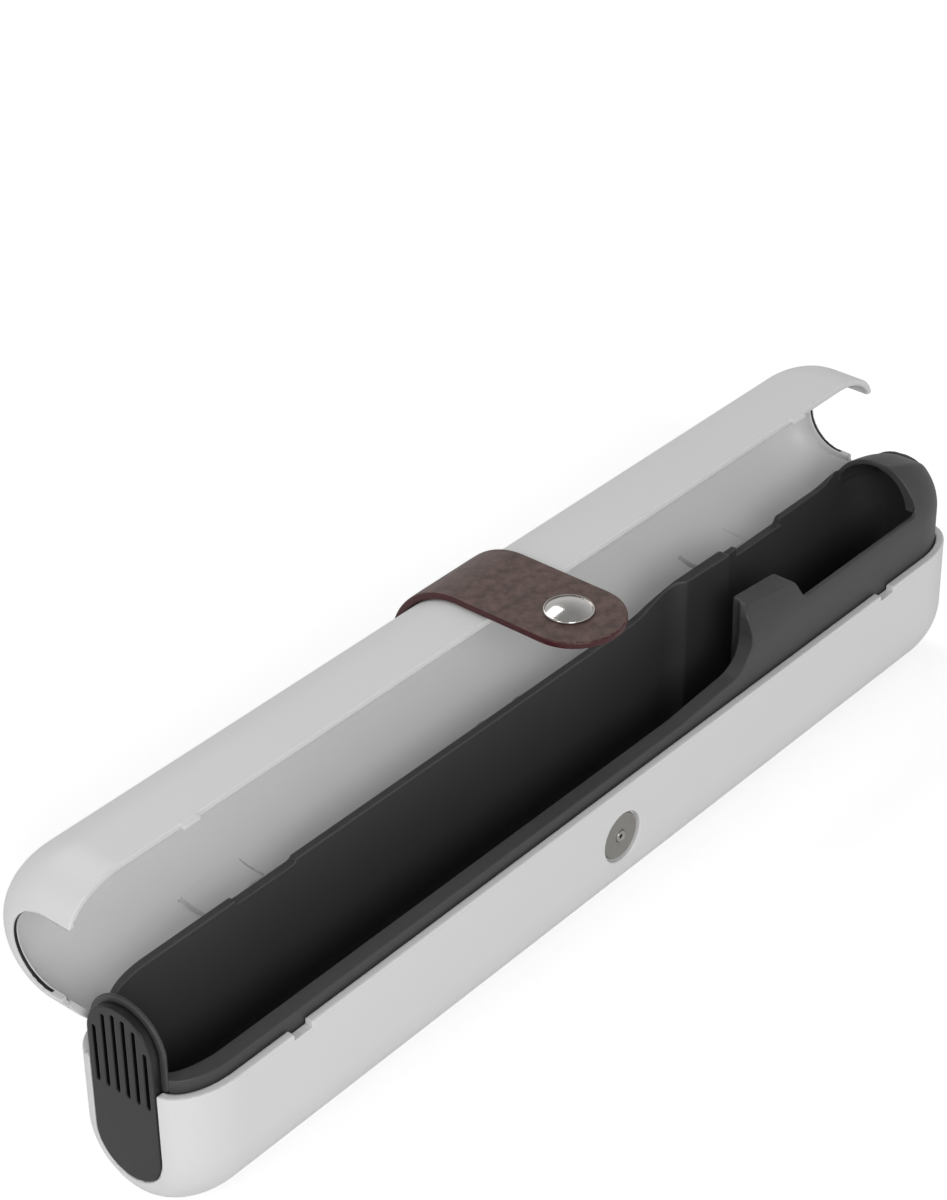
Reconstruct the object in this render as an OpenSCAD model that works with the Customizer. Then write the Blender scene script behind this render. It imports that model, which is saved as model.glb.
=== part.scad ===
// Travel case for a toothbrush: a long capsule with a hinged lid, a dark inner tray,
// vented end plates and a leather strap that closes on a metal clasp disc.
// X runs along the case, the clasp is on the -Y side, the hinge on the +Y side.
// The origin is the middle of the foot flat that the case rests on.

/* [Case] */
// Overall length of the case
case_l = 236; // [200:1:260]
// Width of the case
case_w = 30.6; // [30.6:0.1:34]
// Height of the base, from the foot flat to the rim
base_h = 29.2; // [28.5:0.1:31]
// Straight part of the lid wall, above the rim
lid_side_h = 7.6; // [7.6:0.1:9]
// Straight part of the base wall, below the rim
base_side_h = 15.2; // [14.5:0.1:16]
// Length of the rounding at each end of the case
corner_l = 13; // [11:0.5:15]
// Depth of the rounding at each end of the case
corner_d = 7.9; // [7:0.1:8]
// Wall of the base shell
base_t = 1.85; // [1.7:0.05:2]
// Width of the foot flat under the base
foot_w = 15; // [13:0.5:15]
// Wall of the lid shell
lid_t = 1.5; // [1.4:0.05:1.6]

/* [Lid and hinge] */
// Angle at which the lid stands open
lid_open = 90; // [60:1:95]
// Gap between the lid edge and the base rim
seam_gap = 0.2; // [0.2:0.05:0.4]
// Height of the hinge axis above the rim
hinge_up = 4.06; // [4:0.02:4.2]
// Distance of the hinge axis inside the outer wall
hinge_in = 1.55; // [1.5:0.01:1.6]
// Distance of each hinge from the middle of the case
hinge_x = 74; // [50:1:85]
// Length of each hinge leaf
leaf_l = 14.4; // [12:0.1:18]
// Radius of the hinge knuckles
knuckle_r = 1.35; // [1.2:0.05:1.4]
// Radius of the hinge pins
pin_r = 0.6; // [0.5:0.05:0.7]
// Running clearance round the hinge pins
pin_fit = 0.05; // [0.03:0.01:0.08]

/* [Inner tray] */
// Gap between the tray and the base wall
tray_gap = 0.2; // [0.2:0.05:0.4]
// Height of the front wall above the rim
front_wall_up = 2.5; // [1.5:0.1:3]
// Height of the back wall above the rim
back_wall_up = 11.9; // [10:0.1:13]
// Depth of the back wall's outer face inside the case wall
back_wall_in = 6; // [6:0.1:6.8]
// Thickness of the tray's walls
tray_t = 2; // [1.8:0.1:2.3]
// Width of the front wall's top face
front_wall_t = 3.4; // [2.6:0.05:3.6]
// Near side of the neck cheeks
neck_x0 = 44.5; // [40:0.5:47]
// Far side of the neck cheeks
neck_x1 = 61; // [57:0.5:62]
// Width of the slot between the neck cheeks
neck_w = 11.1; // [9.5:0.1:12.5]
// Where the hood over the end of the brush head begins
hood_x = 103; // [100:0.1:104]
// Height of the front cheek above the rim
cheek_up = 16.4; // [15:0.1:17]
// Height of the head compartment's front edge above the rim
head_edge_up = 11.1; // [10:0.1:12]
// Thickness of the front wall of the head compartment
head_wall_t = 1.55; // [1.4:0.05:2]

/* [Vent plates] */
// Radius of the plate's round ends
plate_r = 7.85; // [7.2:0.05:8]
// Height of the upper round end's centre above the rim
plate_top_up = 6.6; // [5.5:0.1:6.6]
// Depth of the lower round end's centre below the rim
plate_low_down = 14.9; // [13:0.1:15]
// Thickness of the plate
plate_t = 1.8; // [1.6:0.1:2]
// Number of vent slots in a plate
slot_n = 6; // [4:1:7]
// Distance between vent slots
slot_pitch = 2.42; // [2:0.01:2.42]
// Width of a vent slot
slot_w = 0.8; // [0.6:0.05:1]

/* [Strap and clasp] */
// Width of the leather strap
strap_w = 20.2; // [16:0.1:24]
// Thickness of the leather
strap_t = 1.6; // [1.4:0.1:2]
// Gap between the leather and the shell
strap_gap = 0.2; // [0.15:0.05:0.3]
// Depth of the clasp centre below the rim
clasp_down = 11.4; // [10.5:0.1:12]
// Radius of the clasp disc in the base
disc_r = 5; // [4.5:0.1:5.2]
// Thickness of the clasp disc
disc_t = 0.7; // [0.5:0.05:0.8]
// Radius of the domed cap on the strap
cap_r = 4.9; // [4.2:0.1:5.5]
// Height of the domed cap above the leather
cap_h = 1.7; // [1.2:0.1:2.2]
// Distance of the catches from the middle of the case
catch_x = 89.3; // [86:0.5:98]
// Length of each catch tab
catch_l = 4; // [3:0.1:5]

/* [Hidden] */
$fn = 72;

// Facets of each half round, and stations in each end rounding
arc_n = 28;
slice_n = 8;
crown_n = 16;
// A bit that carries cuts past a face
bit = 1;

half_l = case_l/2;
case_corner = [corner_l, corner_d];
case_r = case_w/2;
rim_z = base_h;
base_arc_z = base_h - base_side_h;
lid_h = lid_side_h + case_r;
lid_arc_z = rim_z + lid_side_h;
lid_top_z = rim_z + lid_h;
hinge_y = case_r - hinge_in;
hinge_z = rim_z + hinge_up;

base_in_r = case_r - base_t;
base_in_l = half_l - base_t;
lid_in_r = case_r - lid_t;
lid_in_l = half_l - lid_t;
tray_r = base_in_r - tray_gap;
tray_l = base_in_l - tray_gap;
// The roundings of the ends run parallel to the one outside
base_in_corner = [corner_l - base_t, corner_d - base_t];
lid_in_corner = [corner_l - lid_t, corner_d - lid_t];
tray_corner = [corner_l - base_t - tray_gap, corner_d - base_t - tray_gap];

// The back rim drops a little, which clears the lid's edge as it swings
back_drop = 0.3;
// Everything of the lid below the axis stays inside this radius of the axis
swing_r = 4.3;

// Where the vent plates sit in the end walls
plate_in = 0.1;
plate_fit = 0.1;
plate_back_x = half_l - plate_in - plate_t;

// Trough of the tray
back_wall_y = case_r - back_wall_in;
trough_front_y = front_wall_t - tray_r;
trough_back_y = back_wall_y - tray_t;
trough_y = (trough_front_y + trough_back_y)/2;
trough_r = (trough_back_y - trough_front_y)/2;
trough_floor_z = base_t + tray_t + 1.2;
end_wall_t = 0.8;
trough_l = plate_back_x - end_wall_t;
trough_corner = [12, 5];
neck_y = trough_y + 0.8;
head_front_y = head_wall_t - tray_r;
head_y = (head_front_y + trough_back_y)/2;
head_r = (trough_back_y - head_front_y)/2;

// Hollow of the hood
hood_y = -0.3;
hood_z = rim_z + lid_side_h + 2;
hood_r = tray_r - 3.8;
hood_corner = [13, 6.5];
// Above the rim the tray's top and back edge are rounder than the case
crown_y = -1.6;
crown_z = rim_z + 9.2;
crown_r = back_wall_y - crown_y;
crown_corner = [18, 7];
hood_t = 1;

// Cut-outs round the vent plates
lid_cut_gap = 0.45;
ridge_r = plate_r + 1.15;
rabbet_gap = 0.5;
rabbet_x = half_l - 1.7;
plate_top_z = rim_z + plate_top_up;
plate_low_z = rim_z - plate_low_down;
slot_bottom_down = 4;
slot_margin = 1.6;

// Notch in the tray's back wall in front of each hinge
notch_l = 15;
notch_d = 0.9;

// Hinge leaves
knuckle_gap = 0.2;
lid_knuckle_l = leaf_l/2 - 0.4;
leaf_t = 1.1;
leaf_in = 0.7;
leaf_side_gap = 0.75;
lid_leaf_top = 12.3;
window_up = 5.8;
base_leaf_t = 1.1;
base_leaf_in = 0.4;
base_leaf_h = 9;

// Catches on the free edge of the lid
catch_h = 1;
catch_t = 0.9;
catch_gap = 0.2;

// Seal let into the crown of the lid's end cut-outs
seal_w = 0.7;
seal_l = 0.7;
seal_in = 0.4;

// Strap, measured from the closed case
strap_in_y = case_r + strap_gap;
strap_mid_y = strap_in_y + strap_t/2;
strap_out_y = strap_in_y + strap_t;
strap_end_up = hinge_up + 0.3 - sqrt(swing_r*swing_r - pow(strap_out_y - hinge_y, 2));
fold_gap = 0.15;
clasp_z = rim_z - clasp_down;
strap_tip_z = clasp_z - 1.2;
rivet_x = 5.5;
rivet_up = strap_end_up + 2.6;
rivet_r = 1.1;
rivet_head_r = 1.7;
rivet_head_h = 0.5;
hole_fit = 0.05;

// Clasp
recess_gap = 0.4;
recess_d = 1.2;
disc_hole_r = 1.3;
magnet_r = 4.5;
magnet_t = 1.4;
magnet_gap = 0.1;
backing_r = 4.2;
backing_t = 0.4;
stem_r = 1.5;
cap_rim_h = 0.35;

shell_col = [0.86, 0.86, 0.86];
tray_col = [0.2, 0.2, 0.2];
plate_col = [0.23, 0.23, 0.23];
steel_col = [0.6, 0.6, 0.6];
chrome_col = [0.8, 0.8, 0.8];
seal_col = [0.06, 0.06, 0.06];
leather_col = [0.28, 0.18, 0.16];

// Outline across X: an arc of radius q at height z0, straight sides and, at height z1,
// a second arc where full is true or else a flat edge
function outline(q, y, z0, z1, full, n) = let(d = sign(z0 - z1), pts = concat(
    full ? [] : [[y + q, z1]],
    [for (i = [0:n]) let(a = 180*i/n) [y + q*cos(a), z0 + d*q*sin(a)]],
    full ? [for (i = [0:n]) let(a = 180*i/n) [y - q*cos(a), z1 - d*q*sin(a)]] : [[y - q, z1]]))
    d < 0 ? pts : [for (i = [len(pts) - 1:-1:0]) pts[i]];

// Stations along X with the radius lost there; c = [length, depth] of an end's rounding
function stations(x0, x1, c0, c1) = concat(
    [for (k = [slice_n:-1:0]) let(a = 90*k/slice_n) [x0 + c0[0]*(1 - sin(a)), c0[1]*(1 - cos(a))]],
    [for (k = [0:slice_n]) let(a = 90*k/slice_n) [x1 - c1[0]*(1 - sin(a)), c1[1]*(1 - cos(a))]]);

// A long trough, lid or whole capsule along X from x0 to x1, both ends rounded in plan
module capsule(r, x0, x1, z0, z1, full = false, y = 0, c0 = case_corner, c1 = case_corner, n = arc_n) {
    st = stations(x0, x1, c0, c1);
    rings = [for (p = st) outline(r - p[1], y, z0, z1, full, n)];
    m = len(rings[0]);
    last = len(st) - 1;
    pts = [for (j = [0:last]) for (p = rings[j]) [st[j][0], p[0], p[1]]];
    polyhedron(pts, concat(
        [[for (i = [m - 1:-1:0]) i], [for (i = [0:m - 1]) last*m + i]],
        [for (j = [0:last - 1], i = [0:m - 1]) [(j + 1)*m + i, j*m + i, j*m + (i + 1)%m]],
        [for (j = [0:last - 1], i = [0:m - 1])
            [(j + 1)*m + i, j*m + (i + 1)%m, (j + 1)*m + (i + 1)%m]]));
}

// A stadium slab, flat across X, between two round ends of radius r
module stadium(r, x0, x1, z0, z1) {
    for (z = [z0, z1]) translate([x0, 0, z]) rotate([0, 90, 0]) cylinder(r = r, h = x1 - x0);
    translate([x0, -r, z0]) cube([x1 - x0, 2*r, z1 - z0]);
}

module at_hinge(side) {
    translate([side*hinge_x, hinge_y, hinge_z]) rotate([0, 90, 0]) children();
}

// Turns a piece of the closed lid to the open pose about the hinge axis
module opened() {
    translate([0, hinge_y, hinge_z]) rotate([-lid_open, 0, 0])
        translate([0, -hinge_y, -hinge_z]) children();
}

// A flat disc whose face looks towards -Y
module disc_y(r, y0, y1, z) {
    translate([0, y1, z]) rotate([90, 0, 0]) cylinder(r = r, h = y1 - y0);
}

module vent_slots(x0, x1) {
    for (k = [0:slot_n - 1]) {
        y = (k - (slot_n - 1)/2)*slot_pitch;
        r = plate_r - slot_margin;
        top = plate_top_z + sqrt(max(0.01, r*r - y*y));
        translate([x0, y - slot_w/2, rim_z - slot_bottom_down])
            cube([x1 - x0, slot_w, top - rim_z + slot_bottom_down]);
    }
}

// The foot flat, with round ends, grows out of the bottom arc
module foot() {
    x = half_l - corner_l - foot_w/2;
    for (s = [-1, 1]) translate([s*x, 0, 0]) cylinder(r = foot_w/2, h = base_t);
    translate([-x, -foot_w/2, 0]) cube([2*x, foot_w, base_t]);
}

module base_shell() {
    color(shell_col) difference() {
        union() {
            capsule(case_r, -half_l, half_l, base_arc_z, rim_z);
            foot();
        }
        translate([-half_l - bit, -case_r - bit, -case_r]) cube([case_l + 2*bit, case_w + 2*bit, case_r]);
        intersection() {
            capsule(base_in_r, -base_in_l, base_in_l, base_arc_z, rim_z + bit, c0 = base_in_corner,
                    c1 = base_in_corner);
            translate([-half_l, -case_r, base_t]) cube([case_l, case_w, base_h + bit]);
        }
        for (s = [-1, 1]) {
            scale([s, 1, 1]) stadium(plate_r + plate_fit, base_in_l - base_t, half_l + bit,
                                     plate_low_z, rim_z + plate_r);
            translate([s*catch_x - catch_l/2 - catch_gap, -case_r - bit, rim_z - catch_h - catch_gap])
                cube([catch_l + 2*catch_gap, catch_t + 2*catch_gap + bit, base_h]);
            translate([s*hinge_x - leaf_l/2 - leaf_side_gap/2, 0, rim_z - base_leaf_h - catch_gap])
                cube([leaf_l + leaf_side_gap, base_in_r + base_leaf_in, base_h]);
        }
        translate([-half_l - bit, hinge_y - swing_r, rim_z - back_drop]) cube([case_l + 2*bit, case_r, base_h]);
        disc_y(disc_r + recess_gap, -case_r - bit, -case_r + recess_d, clasp_z);
        disc_y(disc_hole_r, -case_r, 0, clasp_z);
    }
}

// Side outline of what is kept of the tray's front: wall, rise to the cheek, dip, head edge, hood
module front_outline() {
    low = rim_z + front_wall_up;
    high = rim_z + cheek_up;
    edge = rim_z + head_edge_up;
    polygon(concat(
        [[-case_l, 0], [-case_l, low], [neck_x0 - 24, low]],
        [for (a = [0:9:81]) [neck_x0 - 8 + 8*sin(a), low + 9 - 7.7*cos(a)]],
        [[neck_x0, high - 3]],
        [for (a = [15:15:90]) [neck_x0 + 2.5*(1 - cos(a)), high - 2.5*(1 - sin(a))]],
        [for (a = [0:15:60]) [neck_x1 - 1.6 + 2*sin(a), high - 1.1 - 2*(1 - cos(a))]],
        [for (a = [0:15:60]) [neck_x1 + 2.6 - 2*sin(60 - a), edge + 2*(1 - cos(60 - a))]],
        [for (a = [0:15:90]) [hood_x - 1.5 + 1.5*sin(a), edge + 1.5*(1 - cos(a))]],
        [[hood_x, case_l], [case_l, case_l], [case_l, 0]]));
}

// The same for the tray's back, which has a lower cheek and a high wall all along
module back_outline() {
    low = rim_z + back_wall_up;
    high = low + 3.6;
    edge = low + 1;
    polygon(concat(
        [[-case_l, 0], [-case_l, low], [neck_x0 - 13, low]],
        [for (a = [15:15:45]) [neck_x0 - 13 + 8*sin(a), low + 4*(1 - cos(a))]],
        [for (a = [30:-15:0]) [neck_x0 + 1.5 - 4*sin(a), high - 4*(1 - cos(a))]],
        [for (a = [0:15:60]) [neck_x1 - 1 + 2*sin(a), high - 0.6 - 2*(1 - cos(a))]],
        [[neck_x1 + 1, edge], [hood_x - 8, edge]],
        [for (a = [9:9:45]) [hood_x - 8 + 11*sin(a), edge + 11*(1 - cos(a))]],
        [[hood_x, case_l], [case_l, case_l], [case_l, 0]]));
}

module across(outline_y0, outline_y1) {
    translate([0, outline_y1, 0]) rotate([90, 0, 0]) linear_extrude(outline_y1 - outline_y0) children();
}

// One compartment, hollowed to radius r about a line at y, open upwards as far as top
module trough(r, y, x0, x1, top, c0, c1) {
    capsule(r, x0, x1, trough_floor_z + r, top, false, y, c0, c1);
}

// Compartments for the handle, the neck and the head
module troughs(top) {
    half_w = neck_w/2;
    trough(trough_r, trough_y, -trough_l, neck_x0 + 2, top, trough_corner, [5, trough_r - half_w]);
    trough(half_w, neck_y, neck_x0 - 4, neck_x1 + 4, top, [1, 0.2], [1, 0.2]);
    trough(head_r, head_y, neck_x1, trough_l, top, [1.5, head_r - half_w], trough_corner);
}

// Hollow of the hood over the end of the brush head
module hood_hollow() {
    intersection() {
        capsule(hood_r, hood_x - 2, trough_l, trough_floor_z + hood_r, hood_z, true, hood_y, [1, 0.2],
                hood_corner, crown_n);
        capsule(crown_r - hood_t, 0, tray_l - hood_t, base_arc_z, crown_z, true, crown_y, [1, 0.2],
                crown_corner, crown_n);
        translate([hood_x - 2, -case_r, rim_z]) cube([case_l, case_r + trough_back_y, case_l]);
    }
}

// What the rounder top and back edge leave of the tray
module crown() {
    flat_z = crown_z + crown_r - 0.15;
    top = [for (p = stations(-tray_l, tray_l, crown_corner, crown_corner)) [p[0], flat_z - p[1]]];
    intersection() {
        capsule(crown_r, -tray_l, tray_l, base_arc_z, crown_z, true, crown_y, crown_corner, crown_corner,
                crown_n);
        translate([-half_l, crown_y - 3*bit, 0]) cube([case_l, case_w, case_l]);
    }
    across(-case_r, crown_y) polygon(concat([[-tray_l, 0]], top, [[tray_l, 0]]));
    translate([-half_l, -case_r, 0]) cube([case_l, case_w, rim_z - 0.5]);
}

module inner_tray() {
    color(tray_col) difference() {
        union() {
            difference() {
                intersection() {
                    capsule(tray_r, -tray_l, tray_l, base_arc_z, lid_arc_z, true, 0, tray_corner, tray_corner);
                    crown();
                    union() {
                        across(-case_r, trough_y) front_outline();
                        across(trough_y, back_wall_y) back_outline();
                        translate([-half_l, back_wall_y - bit, 0]) cube([case_l, case_r, rim_z - 0.5]);
                    }
                    translate([-half_l, -case_r, base_t]) cube([case_l, case_w, case_l]);
                }
                intersection() {
                    troughs(case_l);
                    translate([-case_l, -case_r, 0]) cube([case_l + hood_x, case_w, case_l]);
                }
                troughs(rim_z + head_edge_up);
                hood_hollow();
            }
            for (s = [-1, 1]) scale([s, 1, 1]) intersection() {
                stadium(ridge_r, trough_l, plate_back_x, rim_z, plate_top_z);
                translate([0, -case_r, rim_z]) cube([case_l, case_r + back_wall_y, base_h]);
            }
        }
        for (s = [-1, 1]) {
            scale([s, 1, 1]) vent_slots(trough_l - 8, half_l);
            translate([s*hinge_x - notch_l/2, trough_back_y - bit, rim_z + back_wall_up - notch_d])
                cube([notch_l, case_r, base_h]);
            translate([s*hinge_x - leaf_l/2 - leaf_side_gap, hinge_y - knuckle_r - 2*catch_gap,
                       rim_z - base_leaf_h - 2*catch_gap])
                cube([leaf_l + 2*leaf_side_gap, case_r, base_h]);
        }
        disc_y(magnet_r + catch_gap, -case_r, -tray_r + magnet_t, clasp_z);
    }
}

module vent_plate(side) {
    color(plate_col) scale([side, 1, 1]) difference() {
        stadium(plate_r, plate_back_x, half_l - plate_in, plate_low_z, plate_top_z);
        vent_slots(plate_back_x - bit, half_l + bit);
    }
}
module near_vent_plate() vent_plate(-1);
module far_vent_plate() vent_plate(1);

// The base's half of a hinge: a plate let into the wall, with two knuckles
module base_leaf(side) {
    leaf_y0 = base_in_r + base_leaf_in - base_leaf_t;
    knuckle_l = (leaf_l - lid_knuckle_l)/2 - knuckle_gap;
    color(shell_col) difference() {
        union() {
            translate([side*hinge_x - leaf_l/2, leaf_y0, rim_z - base_leaf_h])
                cube([leaf_l, base_leaf_t, base_leaf_h - 2*back_drop]);
            for (s = [-1, 1]) {
                x = side*hinge_x + s*(leaf_l - knuckle_l)/2;
                translate([x, hinge_y, hinge_z]) rotate([0, 90, 0])
                    cylinder(r = knuckle_r, h = knuckle_l, center = true);
                translate([x - knuckle_l/2, leaf_y0, rim_z - 1])
                    cube([knuckle_l, base_leaf_t, hinge_up + 1]);
            }
        }
        at_hinge(side) cylinder(r = pin_r, h = leaf_l + bit, center = true);
    }
}
module near_base_leaf() base_leaf(-1);
module far_base_leaf() base_leaf(1);

module hinge_pin(side) {
    color(steel_col) at_hinge(side) cylinder(r = pin_r, h = leaf_l, center = true);
}
module near_hinge_pin() hinge_pin(-1);
module far_hinge_pin() hinge_pin(1);

module clasp_disc() {
    color(steel_col) difference() {
        disc_y(disc_r, -case_r + recess_d - disc_t, -case_r + recess_d, clasp_z);
        disc_y(disc_hole_r, -case_r, -case_r + recess_d + bit, clasp_z);
    }
}

module clasp_rivet() {
    y0 = -case_r + recess_d - disc_t;
    color(chrome_col) difference() {
        disc_y(disc_hole_r - hole_fit, y0 - 0.15, -tray_r + magnet_gap, clasp_z);
        disc_y(0.45, y0 - bit, y0 + 0.5, clasp_z);
    }
}

module clasp_magnet() {
    color(steel_col) disc_y(magnet_r, -tray_r + magnet_gap, -tray_r + magnet_t, clasp_z);
}

// Shapes of the lid are drawn on the closed case and then opened
module lid_space(r, len) {
    capsule(r, -len, len, lid_arc_z, rim_z + seam_gap);
}

module lid_shell() {
    color(shell_col) opened() union() {
        difference() {
            lid_space(case_r, half_l);
            capsule(lid_in_r, -lid_in_l, lid_in_l, lid_arc_z, rim_z - bit, c0 = lid_in_corner,
                    c1 = lid_in_corner);
            for (s = [-1, 1]) {
                scale([s, 1, 1]) {
                    stadium(plate_r + lid_cut_gap, lid_in_l - 4, half_l + bit, rim_z - plate_r, plate_top_z);
                    stadium(ridge_r + rabbet_gap, lid_in_l - 4, rabbet_x, rim_z - plate_r, plate_top_z);
                    seal_ring();
                }
                translate([s*hinge_x - leaf_l/2 - leaf_side_gap, lid_in_r - 3, rim_z - bit])
                    cube([leaf_l + 2*leaf_side_gap, 2*case_r, window_up + bit]);
                lid_leaf_space(s, leaf_l/2 + leaf_side_gap, 0);
            }
            swing_cut();
            for (x = [-rivet_x, rivet_x])
                translate([x, case_r + bit, rim_z + rivet_up]) rotate([90, 0, 0])
                    cylinder(r = rivet_r + hole_fit, h = lid_t + 2*bit);
        }
        for (s = [-1, 1]) translate([s*catch_x - catch_l/2, -case_r + 0.1, rim_z - catch_h])
            cube([catch_l, catch_t, catch_h + 2*seam_gap]);
    }
}

// What the lid may not hold below the axis, where it would sweep through the tray
module swing_cut() {
    difference() {
        translate([-half_l - bit, 2, rim_z - bit]) cube([case_l + 2*bit, hinge_y - 2, hinge_up + bit]);
        translate([-half_l - 2*bit, hinge_y, hinge_z]) rotate([0, 90, 0])
            cylinder(r = swing_r, h = case_l + 4*bit);
    }
}

module seal_ring() {
    r0 = plate_r + lid_cut_gap;
    x = half_l - seal_in - seal_l;
    intersection() {
        translate([x, 0, plate_top_z]) rotate([0, 90, 0]) difference() {
            cylinder(r = r0 + seal_w, h = seal_l);
            translate([0, 0, -bit]) cylinder(r = r0, h = seal_l + 2*bit);
        }
        translate([x, -case_r, plate_top_z]) cube([case_l, case_w, case_r]);
    }
}

module lid_seal(side) {
    color(seal_col) opened() scale([side, 1, 1]) intersection() {
        seal_ring();
        lid_space(case_r, half_l);
    }
}
module near_lid_seal() lid_seal(-1);
module far_lid_seal() lid_seal(1);

// The space of a lid leaf along the inside of the back wall, from window_up to lid_leaf_top
module lid_leaf_space(side, half_w, proud) {
    r_out = lid_in_r + leaf_in;
    r_in = lid_in_r + leaf_in - leaf_t;
    intersection() {
        difference() {
            union() {
                translate([side*hinge_x - half_w, 0, lid_arc_z]) rotate([0, 90, 0]) cylinder(r = r_out, h = 2*half_w);
                translate([side*hinge_x - half_w, 0, rim_z]) cube([2*half_w, r_out, lid_side_h]);
            }
            translate([side*hinge_x - half_w - bit, 0, lid_arc_z]) rotate([0, 90, 0])
                cylinder(r = r_in, h = 2*half_w + 2*bit);
            translate([side*hinge_x - half_w - bit, -bit, rim_z - bit])
                cube([2*half_w + 2*bit, r_in + bit, lid_side_h + bit]);
        }
        translate([side*hinge_x - half_w - bit, 1, rim_z + window_up])
            cube([2*half_w + 2*bit, case_r, lid_leaf_top - window_up]);
    }
}

module lid_leaf(side) {
    color(shell_col) opened() difference() {
        union() {
            lid_leaf_space(side, leaf_l/2, 0);
            at_hinge(side) cylinder(r = knuckle_r, h = lid_knuckle_l, center = true);
            translate([side*hinge_x - lid_knuckle_l/2, lid_in_r + leaf_in - leaf_t, hinge_z])
                cube([lid_knuckle_l, leaf_t, window_up - hinge_up + 0.5]);
        }
        at_hinge(side) cylinder(r = pin_r + pin_fit, h = leaf_l + bit, center = true);
    }
}
module near_lid_leaf() lid_leaf(-1);
module far_lid_leaf() lid_leaf(1);

// Strap that wraps the crown of the lid, from the hinge side down to the free edge
module strap_band() {
    color(leather_col) opened() difference() {
        union() {
            difference() {
                union() {
                    translate([-strap_w/2, 0, lid_arc_z]) rotate([0, 90, 0]) cylinder(r = strap_out_y, h = strap_w);
                    translate([-strap_w/2, -strap_out_y, rim_z + fold_gap])
                        cube([strap_w, strap_out_y, lid_side_h - fold_gap]);
                    translate([-strap_w/2, 0, rim_z + strap_end_up])
                        cube([strap_w, strap_out_y, lid_side_h - strap_end_up]);
                }
                translate([-strap_w/2 - bit, 0, lid_arc_z]) rotate([0, 90, 0])
                    cylinder(r = strap_in_y, h = strap_w + 2*bit);
                translate([-strap_w/2 - bit, -strap_in_y, 0])
                    cube([strap_w + 2*bit, 2*strap_in_y, lid_arc_z]);
                translate([-strap_w, -strap_out_y - bit, 0]) cube([2*strap_w, 2*strap_out_y, rim_z + fold_gap]);
            }
        }
        for (x = [-rivet_x, rivet_x])
            translate([x, strap_out_y + bit, rim_z + rivet_up]) rotate([90, 0, 0])
                cylinder(r = rivet_r + hole_fit, h = strap_t + 3*bit);
    }
}

module strap_rivets() {
    color(steel_col) opened() for (x = [-rivet_x, rivet_x])
        translate([x, strap_out_y, rim_z + rivet_up]) rotate([90, 0, 0]) {
            cylinder(r = rivet_r, h = strap_out_y - lid_in_r + 0.9);
            translate([0, 0, -rivet_head_h]) cylinder(r = rivet_head_r, h = rivet_head_h);
        }
}

module strap_rivet_washers() {
    color(steel_col) opened() for (x = [-rivet_x, rivet_x])
        translate([x, lid_in_r, rim_z + rivet_up]) rotate([90, 0, 0]) difference() {
            cylinder(r = 2.1, h = 0.6);
            translate([0, 0, -bit]) cylinder(r = rivet_r + hole_fit, h = 0.6 + 2*bit);
        }
}

// Free end of the strap, which folds at the lid's free edge
module strap_flap() {
    color(leather_col) opened() difference() {
        union() {
            translate([-strap_w/2, -strap_out_y, strap_tip_z])
                cube([strap_w, strap_t, rim_z - fold_gap - strap_tip_z]);
            disc_y(strap_w/2, -strap_out_y, -strap_in_y, strap_tip_z);
        }
        disc_y(stem_r + hole_fit, -strap_out_y - bit, -strap_in_y + bit, clasp_z);
        disc_y(backing_r + hole_fit, -strap_in_y - backing_t, -strap_in_y + bit, clasp_z);
    }
}

// Domed cap with a rolled rim, and its stem through the leather
module snap_cap() {
    dome_r = (cap_r*cap_r + (cap_h - cap_rim_h)*(cap_h - cap_rim_h))/(2*(cap_h - cap_rim_h));
    color(chrome_col) opened() translate([0, -strap_out_y, clasp_z]) rotate([90, 0, 0]) union() {
        cylinder(r = cap_r, h = cap_rim_h);
        intersection() {
            translate([0, 0, cap_h - dome_r]) sphere(r = dome_r);
            cylinder(r = cap_r, h = cap_h);
        }
        translate([0, 0, backing_t - strap_t]) cylinder(r = stem_r, h = strap_t - backing_t);
    }
}

module snap_backing() {
    color(steel_col) opened() disc_y(backing_r, -strap_in_y - backing_t, -strap_in_y, clasp_z);
}

base_shell();
inner_tray();
near_vent_plate();
far_vent_plate();
near_base_leaf();
far_base_leaf();
near_hinge_pin();
far_hinge_pin();
clasp_disc();
clasp_rivet();
clasp_magnet();
lid_shell();
near_lid_seal();
far_lid_seal();
near_lid_leaf();
far_lid_leaf();
strap_band();
strap_rivets();
strap_rivet_washers();
strap_flap();
snap_cap();
snap_backing();
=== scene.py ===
# %% [markdown]
# # A travel case for a toothbrush
#
# The case is a long capsule of satin plastic. It lies open: the lid stands at a right angle
# behind the base, a dark moulded tray fills the base, and a leather strap with a domed snap
# cap hangs over the lid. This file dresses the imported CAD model. The CAD gives the place and
# size of every piece in millimetres, and Blender adds rounded edges, grain and finish.

# %% Load the frame
import math
import bpy
import bmesh
import numpy as np
from mathutils import Matrix, Vector


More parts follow.
